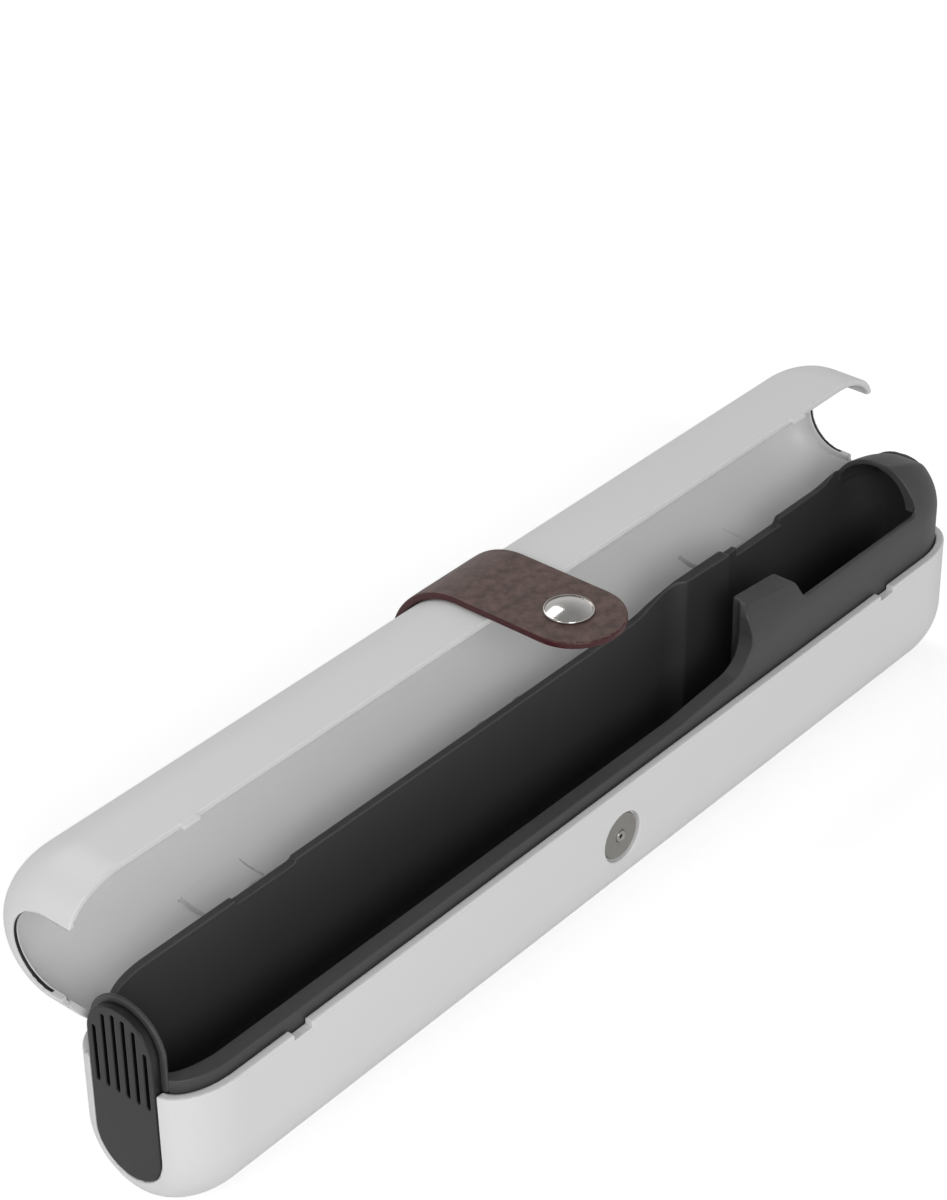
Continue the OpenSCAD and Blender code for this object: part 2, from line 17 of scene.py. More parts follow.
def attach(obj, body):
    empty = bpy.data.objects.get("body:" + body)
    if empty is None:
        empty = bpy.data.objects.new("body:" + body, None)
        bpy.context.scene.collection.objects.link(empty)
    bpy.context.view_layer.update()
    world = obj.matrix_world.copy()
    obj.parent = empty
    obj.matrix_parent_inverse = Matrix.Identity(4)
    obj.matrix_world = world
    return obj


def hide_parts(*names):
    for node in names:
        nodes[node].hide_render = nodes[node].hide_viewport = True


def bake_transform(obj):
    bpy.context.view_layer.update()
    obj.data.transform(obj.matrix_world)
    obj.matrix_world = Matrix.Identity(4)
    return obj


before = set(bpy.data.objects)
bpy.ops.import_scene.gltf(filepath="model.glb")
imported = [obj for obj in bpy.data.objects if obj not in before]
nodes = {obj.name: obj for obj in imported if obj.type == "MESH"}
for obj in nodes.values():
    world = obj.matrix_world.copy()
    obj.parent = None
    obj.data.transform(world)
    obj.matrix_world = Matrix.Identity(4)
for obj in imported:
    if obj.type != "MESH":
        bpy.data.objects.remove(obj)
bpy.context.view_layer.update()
MM = 0.001

# %% [markdown]
# ## Sizes
#
# These are the driving sizes of the CAD, in millimetres. Shapes of the lid are written for
# the closed case, as in the CAD, and turned open about the hinge afterwards.

# %% Sizes shared with the CAD
HALF_L = 118.0
CASE_R = 15.3
RIM = 29.2
BASE_ARC = 14.0
LID_ARC = 36.8
CORNER = (13.0, 7.9)
BASE_T = 1.85
LID_T = 1.5
SEAM = 0.2
HINGE_Y, HINGE_Z = 13.75, 33.26
HINGE_X = 74.0
LEAF_HALF = 7.2
BASE_POCKET, OPEN_POCKET = LEAF_HALF + 0.375, LEAF_HALF + 0.75
NOTCH_HALF = 7.5
BASE_IN_R, BASE_IN_L = CASE_R - BASE_T, HALF_L - BASE_T
LID_IN_R, LID_IN_L = CASE_R - LID_T, HALF_L - LID_T
TRAY_GAP = 0.2
TRAY_R, TRAY_L = BASE_IN_R - TRAY_GAP, BASE_IN_L - TRAY_GAP
BASE_IN_CORNER = (CORNER[0] - BASE_T, CORNER[1] - BASE_T)
LID_IN_CORNER = (CORNER[0] - LID_T, CORNER[1] - LID_T)
TRAY_CORNER = (BASE_IN_CORNER[0] - TRAY_GAP, BASE_IN_CORNER[1] - TRAY_GAP)
BACK_Y = 9.3
TROUGH_FLOOR = 5.05
TROUGH_L = 115.3
TROUGH_CORNER = (12, 5)
TROUGH_Y, TROUGH_R = -1.275, 8.575
NECK_Y, NECK_R = -0.475, 5.55
HEAD_Y, HEAD_R = -2.2, 9.5
NECK_X0, NECK_X1 = 44.5, 61.0
HOOD_X, HOOD_Y, HOOD_Z, HOOD_R = 103.0, -0.3, RIM + 9.6, 9.45
HOOD_CORNER = (13, 6.5)
HOOD_T = 1
CROWN_Y, CROWN_Z, CROWN_R = -1.6, RIM + 9.2, 10.9
NEAR_CROWN_CORNER, FAR_CROWN_CORNER = (13, 6), (18, 7)
RIDGE_R = 9.0
PLATE_R = 7.85
PLATE_IN_X = 116.1
PLATE_TOP, PLATE_LOW = RIM + 6.6, RIM - 14.9
VENTS, VENT_PITCH, VENT_HALF, VENT_LOW = 6, 2.42, 0.4, RIM - 4
LID_CUT_X, RABBET_X = 112.5, 116.3
CLASP_Z = RIM - 11.4
RECESS_Y = -CASE_R + 1.2
CATCH_X = 89.3
STRAP_W, STRAP_T = 20.2, 1.6
STRAP_IN = CASE_R + 0.2
STRAP_OUT = STRAP_IN + STRAP_T
STRAP_TIP = CLASP_Z - 1.2
RIVET_Z, RIVET_PITCH = RIM + 4.26, 11.0
print("case length %.1f mm, closed height %.1f mm" % (2 * HALF_L, LID_ARC + CASE_R))

# %% [markdown]
# ## Moulded plastic as distance fields
#
# Injection-moulded plastic has no sharp edges: every rib, rim and corner ends in a small
# radius. Bevels on a mesh with many cut-outs break easily, so the shells here are written as
# distance fields instead. A field is negative inside the material, two fields join with a
# round fillet, and one field cuts another with a rounded edge. The helpers below are all that
# the shells, plates and strap need.

# %% Fields and how they join
def both(a, b, r=0.0):
    """Where a and b overlap, with the shared edge rounded to radius r."""
    return np.minimum(np.maximum(a, b), -r) + np.hypot(np.maximum(a + r, 0), np.maximum(b + r, 0))


def either(a, b, r=0.0):
    """a and b together, with a fillet of radius r between them."""
    return -both(-a, -b, r)


def cut(a, b, r=0.0):
    """a without b, with the edge of the cut rounded to radius r."""
    return both(a, -b, r)


def slab(u, lo, hi):
    return np.maximum(lo - u, u - hi)


def block(X, Y, Z, lo, hi, r=0.0):
    """A box from lo to hi with its edges rounded to r."""
    q = [np.abs(v - (a + b) / 2) - ((b - a) / 2 - r) for v, a, b in zip((X, Y, Z), lo, hi)]
    out = np.sqrt(sum(np.maximum(v, 0) ** 2 for v in q))
    return out + np.minimum(np.maximum(np.maximum(q[0], q[1]), q[2]), 0) - r


def stadium(Y, Z, r, z0, z1):
    """Distance across X to a stadium that stands between two round ends."""
    return np.hypot(Y, Z - np.clip(Z, z0, z1)) - r


def capsule(X, Y, Z, r, x0, x1, arc, up=1, arc2=None, y0=0.0, c0=CORNER, c1=CORNER):
    """The case's own form: an arc along X, straight sides beyond it, and rounded ends."""
    dy = np.abs(Y - y0)
    if arc2 is None:
        v = np.where((Z - arc) * up > 0, dy, np.hypot(dy, Z - arc))
    else:
        v = np.hypot(dy, Z - np.clip(Z, arc, arc2))

    def end(u, length, depth):
        a = np.maximum(u + length, 0) / length
        b = np.maximum(v - r + depth, 0) / depth
        s = np.hypot(a, b)
        g = np.maximum(np.hypot(a / length, b / depth), 1e-6)
        return np.where(s > 1e-6, (s - 1) * s / g, np.maximum(u, v - r))
    return np.maximum(end(x0 - X, *c0), end(X - x1, *c1))


def outline_field(U, V, pts):
    """Signed distance to a closed polygon in a plane."""
    d2, inside = None, None
    for (ax, ay), (bx, by) in zip(pts, pts[1:] + pts[:1]):
        ex, ey = bx - ax, by - ay
        if ex == 0 and ey == 0:
            continue
        t = np.clip(((U - ax) * ex + (V - ay) * ey) / (ex * ex + ey * ey), 0, 1)
        d = (U - ax - t * ex) ** 2 + (V - ay - t * ey) ** 2
        d2 = d if d2 is None else np.minimum(d2, d)
        if ay != by:
            hit = ((ay > V) != (by > V)) & (U < ax + (V - ay) * ex / ey)
            inside = hit if inside is None else inside ^ hit
    return np.where(inside, -1.0, 1.0) * np.sqrt(d2)


# %% [markdown]
# ## From a field to a mesh
#
# A grid samples the field, and every grid cell that the surface crosses gets one vertex. The
# vertex starts at the mean of the crossings on the cell's edges and then steps along the
# field's slope until it lies on the surface. The slope is also the exact surface direction, so
# it becomes the vertex normal, and even long cells shade smoothly. The grid lines can be
# spaced unevenly: close where a slot or catch needs it, wide along the plain middle.

# %% Surface of a field
def lines(*spans):
    """Grid lines from (start, end, step) spans that follow each other."""
    out = []
    for a, b, step in spans:
        n = max(1, round((b - a) / step))
        out += [a + (b - a) * i / n for i in range(n)]
    return np.array(out + [spans[-1][1]])


def slope(field, p, eps=0.01):
    g = np.empty_like(p)
    for k in range(3):
        lo, hi = p.copy(), p.copy()
        lo[:, k] -= eps
        hi[:, k] += eps
        g[:, k] = (field(*hi.T) - field(*lo.T)) / (2 * eps)
    return g


def surface(field, xs, ys, zs):
    """Vertices, quads and normals of the zero surface of a field."""
    val = field(xs[:, None, None], ys[None, :, None], zs[None, None, :])
    val = np.broadcast_to(val, (len(xs), len(ys), len(zs)))
    inside = val < 0
    count = sum(inside[i:i + len(xs) - 1, j:j + len(ys) - 1, k:k + len(zs) - 1].astype(np.int8)
                for i in (0, 1) for j in (0, 1) for k in (0, 1))
    active = (count > 0) & (count < 8)
    I, J, K = np.nonzero(active)
    index = np.full(active.shape, -1, np.int64)
    index[I, J, K] = np.arange(len(I))
    corner = {(i, j, k): val[I + i, J + j, K + k] for i in (0, 1) for j in (0, 1) for k in (0, 1)}
    place = {c: np.stack([xs[I + c[0]], ys[J + c[1]], zs[K + c[2]]], 1) for c in corner}
    total, hits = np.zeros((len(I), 3)), np.zeros(len(I))
    for a in corner:
        for axis in range(3):
            if a[axis]:
                continue
            b = tuple(1 if n == axis else a[n] for n in range(3))
            crosses = (corner[a] < 0) != (corner[b] < 0)
            gap = np.where(crosses, corner[a] - corner[b], 1.0)
            t = np.where(crosses, corner[a] / gap, 0.0)[:, None]
            total += crosses[:, None] * (place[a] + t * (place[b] - place[a]))
            hits += crosses
    p = total / hits[:, None]
    low, high = place[(0, 0, 0)], place[(1, 1, 1)]
    for _ in range(4):
        g = slope(field, p)
        step = field(*p.T)[:, None] * g / np.maximum((g * g).sum(1), 0.05)[:, None]
        p = np.clip(p - step, low, high)
    normals = slope(field, p)
    normals /= np.maximum(np.linalg.norm(normals, axis=1), 1e-9)[:, None]
    quads = []
    for axis in range(3):
        a, b = [n for n in range(3) if n != axis]
        n = [len(xs), len(ys), len(zs)]
        sel = [slice(1, n[m] - 1) for m in range(3)]
        first, second = list(sel), list(sel)
        first[axis], second[axis] = slice(0, n[axis] - 1), slice(1, n[axis])
        f, s = inside[tuple(first)], inside[tuple(second)]
        base = np.array(np.nonzero(f != s)).T + [0 if m == axis else 1 for m in range(3)]
        out = f[f != s]
        steps = [(1, 1), (0, 1), (0, 0), (1, 0)] if axis != 1 else [(1, 1), (1, 0), (0, 0), (0, 1)]
        loop = []
        for da, db in steps:
            c = base.copy()
            c[:, a] -= da
            c[:, b] -= db
            loop.append(index[c[:, 0], c[:, 1], c[:, 2]])
        loop = np.stack(loop, 1)
        loop[~out] = loop[~out][:, ::-1]
        quads.append(loop)
    return p, np.concatenate(quads), normals


# %% [markdown]
# ## Making a piece
#
# A piece's object stays at the origin and its place is in its mesh, as with the CAD nodes.
# Normals from the field go onto the mesh as custom normals. Each piece rides on its body, and
# the CAD nodes it stands for are hidden.

# %% Pieces
def opened(v):
    """From the closed case to the open pose: a quarter turn about the hinge axis."""
    return np.stack([v[:, 0], HINGE_Y + v[:, 2] - HINGE_Z, HINGE_Z - v[:, 1] + HINGE_Y], 1)


def opened_way(n):
    return np.stack([n[:, 0], n[:, 2], -n[:, 1]], 1)


def make_mesh(name, verts, faces, normals=None, materials=(), face_mats=None):
    me = bpy.data.meshes.new(name)
    me.from_pydata((np.asarray(verts, float) * MM).tolist(), [], [list(map(int, f)) for f in faces])
    for m in materials:
        me.materials.append(m)
    if face_mats is not None:
        me.polygons.foreach_set("material_index", np.asarray(face_mats, np.int32))
    me.shade_smooth()
    if normals is not None:
        me.normals_split_custom_set_from_vertices(np.asarray(normals, float).tolist())
    ob = bpy.data.objects.new(name, me)
    bpy.context.scene.collection.objects.link(ob)
    return ob


def outward(ob, crease):
    """Faces point outwards, and edges sharper than the crease angle stay crisp."""
    bm = bmesh.new()
    bm.from_mesh(ob.data)
    bmesh.ops.recalc_face_normals(bm, faces=bm.faces)
    bm.to_mesh(ob.data)
    bm.free()
    ob.data.shade_smooth()
    ob.data.set_sharp_from_angle(angle=math.radians(crease))


def settle(ob, body, replaces=()):
    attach(ob, body)
    if replaces:
        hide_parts(*replaces)
    tris = sum(len(f.vertices) - 2 for f in ob.data.polygons)
    print("%-16s %6d triangles, on %s" % (ob.name, tris, body))
    return ob


# %% [markdown]
# ## Colours and node helper
#
# Colours are written as sRGB hex values, the way they are read off a screen, and turned to the
# linear values that the shader wants.

# %% Colours and nodes
def colour(hexa):
    c = [int(hexa[i:i + 2], 16) / 255 for i in (1, 3, 5)]
    return tuple(v / 12.92 if v <= 0.04045 else ((v + 0.055) / 1.055) ** 2.4 for v in c) + (1.0,)


def add(tree, kind, inputs=None, **settings):
    """Adds a node, sets its settings, and sets or links its inputs."""
    n = tree.nodes.new(kind)
    for k, v in settings.items():
        setattr(n, k, v)
    for k, v in (inputs or {}).items():
        if isinstance(v, bpy.types.NodeSocket):
            tree.links.new(v, n.inputs[k])
        else:
            n.inputs[k].default_value = v
    return n


def start_material(name, roughness, metallic=0.0):
    """A material with its shader, and the object coordinates in metres that patterns read."""
    m = bpy.data.materials.new(name)
    m.use_nodes = True
    tree = m.node_tree
    shader = tree.nodes["Principled BSDF"]
    shader.inputs["Roughness"].default_value = roughness
    shader.inputs["Metallic"].default_value = metallic
    where = add(tree, "ShaderNodeTexCoord").outputs["Object"]
    return m, tree, shader, where


def dress(tree, shader, fac, hex_a, hex_b, height=None, depth_mm=0.0):
    """Base colour that drifts between two close tones, and relief where a height is given."""
    tones = add(tree, "ShaderNodeMix", {0: fac, 6: colour(hex_a), 7: colour(hex_b)},
                data_type="RGBA")
    tree.links.new(tones.outputs[2], shader.inputs["Base Color"])
    if height:
        bump = add(tree, "ShaderNodeBump", {"Height": height, "Distance": depth_mm * MM})
        tree.links.new(bump.outputs["Normal"], shader.inputs["Normal"])


def grained(name, roughness, grain_mm, depth_mm, drift_scale, drift_detail, hex_a, hex_b):
    """A moulded or painted skin: grain about grain_mm across, over a colour that drifts."""
    m, tree, shader, where = start_material(name, roughness)
    grain = add(tree, "ShaderNodeTexNoise", {"Vector": where, "Scale": 1 / (grain_mm * MM)})
    drift = add(tree, "ShaderNodeTexNoise", {"Vector": where, "Scale": drift_scale,
                                             "Detail": drift_detail})
    dress(tree, shader, drift.outputs["Fac"], hex_a, hex_b, grain.outputs["Fac"], depth_mm)
    return m


# %% [markdown]
# ## The plastics
#
# The shells are ABS, injection-moulded in a lightly spark-eroded tool, which gives a soft satin
# skin with a grain of about a third of a millimetre. The tray is the same plastic in charcoal
# from a coarser tool, so it looks flatter. The vent plates are charcoal too but smoother, and
# the seals in the lid are black silicone rubber. At this distance the real grain is too fine to
# show, so it is drawn a little coarser than it is.

# %% Shell, tray, plate and seal materials
shell_abs = grained("shell_moulded_satin_abs", 0.42, 0.35, 0.012, 22.0, 1.0, "#DEDEDE", "#E3E3E3")
tray_abs = grained("tray_moulded_matt_abs", 0.45, 0.5, 0.02, 30.0, 2.0, "#3C3C3D", "#464647")
plate_abs = grained("plate_moulded_smooth_abs", 0.33, 0.4, 0.008, 60.0, 1.0, "#101011", "#151516")
seal_silicone = grained("seal_moulded_silicone", 0.5, 0.5, 0.01, 80.0, 1.0, "#131313", "#1C1C1C")

# %% [markdown]
# ## The leather
#
# The strap is full-grain cowhide, chrome-tanned and dyed dark brown. Its grain is a net of soft
# pebbles about three quarters of a millimetre across with pores between them, and the dye takes
# unevenly. The cut edges are painted burgundy and rubbed smooth, so they get a finish of their
# own. Leather has a broad, waxy sheen: a middling roughness that the pores break up.

# %% Leather and edge paint
leather, tree, shader, where = start_material("strap_tanned_cowhide", 0.5)
pebbles = add(tree, "ShaderNodeTexVoronoi", {"Vector": where, "Scale": 1 / (0.75 * MM)},
              feature="SMOOTH_F1")
creases = add(tree, "ShaderNodeTexNoise", {"Vector": where, "Scale": 1 / (0.3 * MM),
                                           "Detail": 3.0})
relief = add(tree, "ShaderNodeMath", {0: pebbles.outputs["Distance"], 1: creases.outputs["Fac"]},
             operation="ADD")
dye = add(tree, "ShaderNodeTexNoise", {"Vector": where, "Scale": 1 / (2.2 * MM), "Detail": 5.0,
                                       "Roughness": 0.65})
spread = add(tree, "ShaderNodeMapRange", {"Value": dye.outputs["Fac"], "From Min": 0.35,
                                          "From Max": 0.65})
dress(tree, shader, spread.outputs[0], "#46342F", "#68514B", relief.outputs[0], 0.05)
gloss = add(tree, "ShaderNodeMapRange", {"Value": dye.outputs["Fac"], "To Min": 0.42,
                                         "To Max": 0.58})
tree.links.new(gloss.outputs[0], shader.inputs["Roughness"])

edge_paint = grained("strap_edge_burnished_paint", 0.4, 0.8, 0.02, 1 / (1.5 * MM), 2.0,
                     "#380C10", "#471318")

# %% [markdown]
# ## The metals
#
# The snap cap is pressed brass, nickel-plated and polished. The clasp disc, rivets and washers
# are steel with a satin finish: fine turning marks run round their centres. The marks come from
# noise over the distance from the disc's own centre line, stretched so that it makes rings.

# %% Metal finishes
polished_nickel, tree, shader, where = start_material("cap_polished_nickel", 0.16, 1.0)
drift = add(tree, "ShaderNodeTexNoise", {"Vector": where, "Scale": 1 / (1.2 * MM), "Detail": 3.0})
dress(tree, shader, drift.outputs["Fac"], "#CFCCC8", "#D8D6D3")
haze = add(tree, "ShaderNodeMapRange", {"Value": drift.outputs["Fac"], "To Min": 0.12,
                                        "To Max": 0.2})
tree.links.new(haze.outputs[0], shader.inputs["Roughness"])


def turned_steel(name, centre, hex_a, hex_b, roughness):
    """Steel with fine rings round a line along Y through centre, in millimetres."""
    m, tree, shader, where = start_material(name, roughness, 1.0)
    off = add(tree, "ShaderNodeVectorMath", {0: where, 1: [-c * MM for c in centre]},
              operation="ADD")
    flat = add(tree, "ShaderNodeVectorMath", {0: off.outputs[0], 1: (1, 0, 1)},
               operation="MULTIPLY")
    radius = add(tree, "ShaderNodeVectorMath", {0: flat.outputs[0]}, operation="LENGTH")
    rings = add(tree, "ShaderNodeTexNoise", {"W": radius.outputs["Value"], "Scale": 1 / (0.12 * MM),
                                             "Detail": 2.0}, noise_dimensions="1D")
    dress(tree, shader, rings.outputs["Fac"], hex_a, hex_b, rings.outputs["Fac"], 0.006)
    return m


disc_steel = turned_steel("disc_turned_satin_steel", (0, 0, CLASP_Z), "#96948F", "#A6A39F", 0.34)
rivet_steel = turned_steel("rivet_nickelled_steel", (0, 0, CLASP_Z), "#A9A7A4", "#BBB9B6", 0.3)
pin_steel = turned_steel("pin_drawn_steel", (0, 0, 0), "#9A9997", "#A8A7A5", 0.35)
print("materials:", len(bpy.data.materials))

# %% [markdown]
# ## The base shell
#
# The base is the lower half of the capsule: a rounded trough with straight sides up to the rim.
# A slot in each end wall takes the vent plate, two shallow notches at the front rim catch the
# lid, a round recess holds the clasp disc, and pockets at the back hold the hinge leaves.

# %% Base shell
def base_field(X, Y, Z):
    skin = capsule(X, Y, Z, CASE_R, -HALF_L, HALF_L, BASE_ARC)
    skin = both(skin, -Z, 0.6)
    plan = np.hypot(X - np.clip(X, -97.5, 97.5), Y) - 7.5
    skin = either(skin, both(plan, slab(Z, 0.0, BASE_T), 0.3), 0.3)
    hollow = capsule(X, Y, Z, BASE_IN_R, -BASE_IN_L, BASE_IN_L, BASE_ARC, c0=BASE_IN_CORNER,
                     c1=BASE_IN_CORNER)
    hollow = both(hollow, BASE_T - Z, 0.4)
    wall = cut(both(skin, Z - RIM, 0.35), hollow, 0.3)
    ends = np.maximum(stadium(Y, Z, PLATE_R + 0.1, PLATE_LOW, RIM + 8), 114.3 - np.abs(X))
    wall = cut(wall, ends, 0.2)
    notch = block(np.abs(X), Y, Z, (CATCH_X - 2.2, -17, RIM - 1.2),
                  (CATCH_X + 2.2, -13, RIM + 2), 0.1)
    wall = cut(wall, notch, 0.15)
    disc = np.maximum(np.hypot(X, Z - CLASP_Z) - 5.4, Y - RECESS_Y)
    wall = cut(wall, disc, 0.25)
    wall = cut(wall, np.maximum(np.hypot(X, Z - CLASP_Z) - 1.3, Y), 0.05)
    pocket = block(np.abs(X), Y, Z, (HINGE_X - BASE_POCKET, 0, RIM - 9.2),
                   (HINGE_X + BASE_POCKET, 13.85, RIM + 9))
    wall = cut(wall, pocket, 0.1)
    return cut(wall, np.maximum(9.45 - Y, RIM - 0.3 - Z), 0.2)


half = [(3, 7, 0.4), (7, 66, 2.0), (66, 82.5, 0.55), (82.5, 86.4, 1.0), (86.4, 92.2, 0.3),
        (92.2, 104, 1.4), (104, 118.6, 0.5)]
xs = lines(*[(-b, -a, s) for a, b, s in half[::-1]], (-3, 3, 0.3), *half)
ys = lines((-15.7, -13.2, 0.28), (-13.2, -7, 0.5), (-7, 7, 0.8), (7, 13.2, 0.5),
           (13.2, 15.7, 0.28))
zs = lines((-0.6, 0.6, 0.3), (0.6, 11, 0.7), (11, 25, 0.45), (25, 27.6, 0.6), (27.6, 29.8, 0.2))
v, f, n = surface(base_field, xs, ys, zs)
settle(make_mesh("base_case", v, f, n, [shell_abs]), "base", ["base_shell"])

# %% [markdown]
# ## The inner tray
#
# The tray is one dark moulding that drops into the base. Seen from the front it is a low wall
# that sweeps up into a cheek at the neck, dips, runs along the head compartment, and closes
# over the far end as a hood. Its back wall is higher. Three troughs with round floors are cut
# into it: one for the handle, one for the head, and a narrower slot for the neck between them.

# %% Outlines of the tray
def arc(cx, cy, rx, ry, a0, a1, n=8):
    return [(cx + rx * math.cos(math.radians(a0 + (a1 - a0) * i / n)),
             cy + ry * math.sin(math.radians(a0 + (a1 - a0) * i / n))) for i in range(n + 1)]


FAR = 300.0
FRONT = ([(-FAR, -10), (-FAR, RIM + 2.5), (NECK_X0 - 24, RIM + 2.5)]
         + arc(NECK_X0 - 8, RIM + 11.5, 8, 7.7, -90, -9, 12)
         + [(NECK_X0, RIM + 13.4)]
         + arc(NECK_X0 + 2.5, RIM + 13.9, 2.5, 2.5, 180, 90)
         + arc(NECK_X1 - 1.6, RIM + 13.3, 2, 2, 90, 30)
         + arc(NECK_X1 + 2.6, RIM + 13.1, 2, 2, 210, 270)
         + arc(HOOD_X - 1.5, RIM + 12.6, 1.5, 1.5, -90, 0)
         + [(HOOD_X, FAR), (FAR, FAR), (FAR, -10)])
BACK = ([(-FAR, -10), (-FAR, RIM + 11.9), (NECK_X0 - 13, RIM + 11.9)]
        + arc(NECK_X0 - 13, RIM + 15.9, 8, 4, -90, -45)
        + arc(NECK_X0 + 1.5, RIM + 11.5, 4, 4, 120, 90)
        + arc(NECK_X1 - 1, RIM + 12.9, 2, 2, 90, 30)
        + [(NECK_X1 + 1, RIM + 12.9), (HOOD_X - 8, RIM + 12.9)]
        + arc(HOOD_X - 8, RIM + 23.9, 11, 11, -90, -45)
        + [(HOOD_X, FAR), (FAR, FAR), (FAR, -10)])
print("front outline %d points, back outline %d points" % (len(FRONT), len(BACK)))

# %% [markdown]
# The tray's field starts from the closed capsule and keeps what lies under the two outlines. The
# back edge is rounded to let the lid past. Then the troughs and the hood's hollow are taken out,
# and last come the ridge behind each vent plate, the vent slots and the room for the hinges.

# %% Inner tray
def trough(X, Y, Z, r, y, x0, x1, c0, c1):
    return capsule(X, Y, Z, r, x0, x1, TROUGH_FLOOR + r, y0=y, c0=c0, c1=c1)


def vents(X, Y, Z, x0, x1, r):
    """The upright vent slots, whose tops follow the top of the plate."""
    out = []
    for k in range(VENTS):
        y = (k - (VENTS - 1) / 2) * VENT_PITCH
        top = PLATE_TOP + math.sqrt((PLATE_R - 1.6) ** 2 - y * y)
        out.append(block(X, Y, Z, (x0, y - VENT_HALF, VENT_LOW), (x1, y + VENT_HALF, top), r))
    return out


def tray_field(X, Y, Z):
    skin = capsule(X, Y, Z, TRAY_R, -TRAY_L, TRAY_L, BASE_ARC, arc2=LID_ARC, c0=TRAY_CORNER,
                   c1=TRAY_CORNER)
    side = np.where(Y < TROUGH_Y, outline_field(X, Z, FRONT), outline_field(X, Z, BACK))
    skin = both(skin, side, 0.3)
    crown = capsule(X, np.maximum(Y, CROWN_Y), Z, CROWN_R, -TRAY_L, TRAY_L, BASE_ARC,
                    arc2=CROWN_Z, y0=CROWN_Y, c0=NEAR_CROWN_CORNER, c1=FAR_CROWN_CORNER)
    skin = both(skin, either(crown, Z - RIM + 0.5, 0.5), 0.3)
    skin = both(skin, BASE_T - Z, 0.3)
    handle = trough(X, Y, Z, TROUGH_R, TROUGH_Y, -TROUGH_L, NECK_X0 + 2, TROUGH_CORNER,
                    (5, TROUGH_R - NECK_R))
    neck = np.hypot(Y - NECK_Y, np.minimum(Z - TROUGH_FLOOR - NECK_R, 0)) - NECK_R
    neck = both(neck, slab(X, NECK_X0 - 4, NECK_X1 + 4))
    head = trough(X, Y, Z, HEAD_R, HEAD_Y, NECK_X1, TROUGH_L, (1.5, HEAD_R - NECK_R), TROUGH_CORNER)
    deep = either(either(handle, neck, 0.6), head, 0.3)
    hood = capsule(X, Y, Z, HOOD_R, HOOD_X - 2, TROUGH_L, TROUGH_FLOOR + HOOD_R, arc2=HOOD_Z,
                   y0=HOOD_Y, c0=(1, 0.2), c1=HOOD_CORNER)
    under = capsule(X, Y, Z, CROWN_R - HOOD_T, 0, TRAY_L - HOOD_T, BASE_ARC, arc2=CROWN_Z,
                    y0=CROWN_Y, c0=(1, 0.2), c1=FAR_CROWN_CORNER)
    hood = both(both(hood, under, 0.5), np.maximum(Y - 7.3, RIM - Z), 0.8)
    shut = np.minimum(np.maximum(deep, X - HOOD_X), np.maximum(deep, Z - RIM - 11.1))
    skin = cut(skin, np.minimum(shut, hood), 0.35)
    ridge = both(stadium(Y, Z, RIDGE_R, RIM, PLATE_TOP), slab(np.abs(X), TROUGH_L, PLATE_IN_X), 0.2)
    skin = either(skin, np.maximum(np.maximum(ridge, RIM - Z), Y - BACK_Y), 0.15)
    for slot in vents(-X, Y, Z, 106, 119, 0.2):
        skin = cut(skin, slot, 0.1)
    notch = block(np.abs(X), Y, Z, (HINGE_X - NOTCH_HALF, 6.3, RIM + 11),
                  (HINGE_X + NOTCH_HALF, 20, RIM + 20), 0.2)
    pocket = block(np.abs(X), Y, Z, (HINGE_X - OPEN_POCKET, 12, RIM - 9.6),
                   (HINGE_X + OPEN_POCKET, 20, RIM + 20))
    return cut(cut(skin, notch, 0.2), pocket, 0.1)


xs = lines((-116.6, -107, 0.35), (-107, -83, 1.3), (-83, -65, 0.9), (-65, 26, 1.7), (26, 48, 0.5),
           (48, 56, 0.8), (56, 67, 0.4), (67, 97, 1.5), (97, 104, 0.35), (104, 113, 0.5),
           (113, 116.6, 0.3))
ys = lines((-13.5, -9.5, 0.27), (-9.5, -6.5, 0.45), (-6.5, 6.5, 0.27), (6.5, 9.9, 0.3),
           (9.9, 13.5, 0.5))
zs = lines((1.5, 25, 0.9), (25, 29.6, 0.5), (29.6, 32.6, 0.3), (32.6, 39, 0.5), (39, 50.4, 0.35))
v, f, n = surface(tray_field, xs, ys, zs)
settle(make_mesh("tray_moulding", v, f, n, [tray_abs]), "base", ["inner_tray"])

# %% [markdown]
# ## The vent plates
#
# Each end of the case is closed by an oval plate with upright slots, so that a wet brush can
# dry. The plate stands in the slot of the base's end wall, flush with the outside. The slots
# end in a curve that follows the top of the plate.

# %% Vent plates
def plate_field(X, Y, Z):
    plate = both(stadium(Y, Z, PLATE_R, PLATE_LOW, PLATE_TOP), slab(X, PLATE_IN_X, HALF_L - 0.1), 0.22)
    for slot in vents(X, Y, Z, 115, 119, 0.3):
        plate = cut(plate, slot, 0.18)
    return plate


xs = lines((115.8, 118.2, 0.2))
ys = lines((-8.2, 8.2, 0.2))
zs = lines((6, 13, 0.4), (13, 23, 0.8), (23, 44.2, 0.3))
v, f, n = surface(plate_field, xs, ys, zs)
settle(make_mesh("far_vent", v, f, n, [plate_abs]), "base", ["far_vent_plate"])
settle(make_mesh("near_vent", v * [-1, 1, 1], f[:, ::-1], n * [-1, 1, 1], [plate_abs]), "base",
       ["near_vent_plate"])

# %% [markdown]
# ## The lid shell and its seals
#
# The lid is the upper half of the capsule. Each end is cut out round the vent plate, with a
# step inside for the tray's end ridge and a thin black seal let into the end face. Below the
# hinge axis the lid's edge is relieved so that it clears the tray as it swings.

